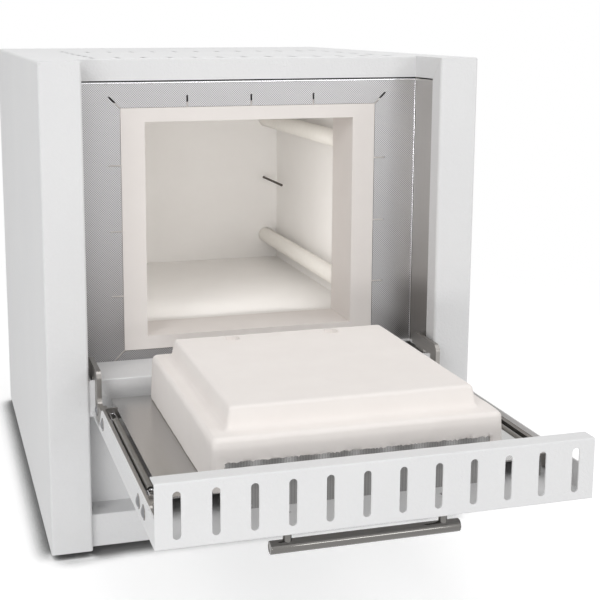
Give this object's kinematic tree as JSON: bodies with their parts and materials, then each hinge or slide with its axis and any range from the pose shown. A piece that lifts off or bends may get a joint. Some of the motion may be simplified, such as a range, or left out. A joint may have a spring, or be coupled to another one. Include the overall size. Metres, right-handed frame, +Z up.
{
  "type": "muffle furnace",
  "caption": "Bench muffle furnace with a fold-down fibre-lined door on cranked levers, a fibre chamber with four heating tubes, and a recessed control panel.",
  "frame": {"origin": "on the bench, under the middle of the footprint with the door folded open", "axes": "+Z up, +Y from the open door towards the rear cover, +X to the right for someone facing the furnace"},
  "size_m": [0.49, 0.965, 0.541],
  "materials": {
    "powder_coat": "satin",
    "textured_stainless": "satin",
    "plain_stainless": "satin",
    "ceramic_fibre": "matte",
    "door_fibre": "matte",
    "ceramic_tube": "matte",
    "heating_coil": "matte",
    "insulation_board": "matte",
    "galvanised_steel": "satin",
    "polished_bolts": "polished",
    "oxidised_alloy": "satin",
    "spring_steel": "satin",
    "black_plastic": "matte",
    "display_window": "gloss",
    "switch_rocker": "gloss",
    "rubber": "matte",
    "terminal_ceramic": "satin"
  },
  "bodies": {
    "housing": {"right_side_cover": "powder_coat", "left_side_cover": "powder_coat", "top_cover": "powder_coat", "rear_cover": "powder_coat", "rear_screws": "polished_bolts", "base_tray": "powder_coat", "rubber_feet": "rubber", "chassis_rails": "galvanised_steel", "control_panel": "powder_coat", "controller_case": "black_plastic", "controller_window": "display_window", "switch_frame": "black_plastic", "relay_unit": "galvanised_steel", "door_sill": "powder_coat", "front_plate": "textured_stainless", "right_alcove_liner": "plain_stainless", "left_alcove_liner": "plain_stainless", "fibre_collar": "ceramic_fibre", "chamber_floor": "ceramic_fibre", "chamber_ceiling": "ceramic_fibre", "right_chamber_wall": "ceramic_fibre", "left_chamber_wall": "ceramic_fibre", "chamber_back_wall": "ceramic_fibre", "back_insulation": "insulation_board", "floor_insulation": "insulation_board", "ceiling_insulation": "insulation_board", "right_side_insulation": "insulation_board", "left_side_insulation": "insulation_board", "inner_casing": "galvanised_steel", "left_lower_heating_tube": "ceramic_tube", "left_upper_heating_tube": "ceramic_tube", "right_lower_heating_tube": "ceramic_tube", "right_upper_heating_tube": "ceramic_tube", "heating_rods": "heating_coil", "terminal_blocks": "terminal_ceramic", "thermocouple_sheath": "oxidised_alloy", "thermocouple_head": "terminal_ceramic", "flue_tube": "ceramic_tube", "flue_flange": "plain_stainless", "cable_gland": "black_plastic", "right_hinge_bracket": "galvanised_steel", "left_hinge_bracket": "galvanised_steel", "hinge_pins": "galvanised_steel"},
    "door": {"right_hinge_lever": "plain_stainless", "left_hinge_lever": "plain_stainless", "door_skin": "powder_coat", "door_pan": "textured_stainless", "door_fibre_block": "door_fibre", "lever_bolts": "polished_bolts", "right_door_spring": "spring_steel", "left_door_spring": "spring_steel", "spring_anchors": "plain_stainless", "handle_bar": "plain_stainless", "handle_posts": "plain_stainless"},
    "rocker": {"power_rocker": "switch_rocker"}
  },
  "joints": [
    {"name": "door_hinge", "type": "hinge", "parent": "housing", "child": "door", "pos_m": [0, -0.1205, 0.1785], "axis": [-1, 0, 0], "range_deg": [0, 90]},
    {"name": "mains_rocker", "type": "hinge", "parent": "housing", "child": "rocker", "pos_m": [0.155, -0.08825, 0.096], "axis": [-1, 0, 0], "range_deg": [0, 20]}
  ]
}
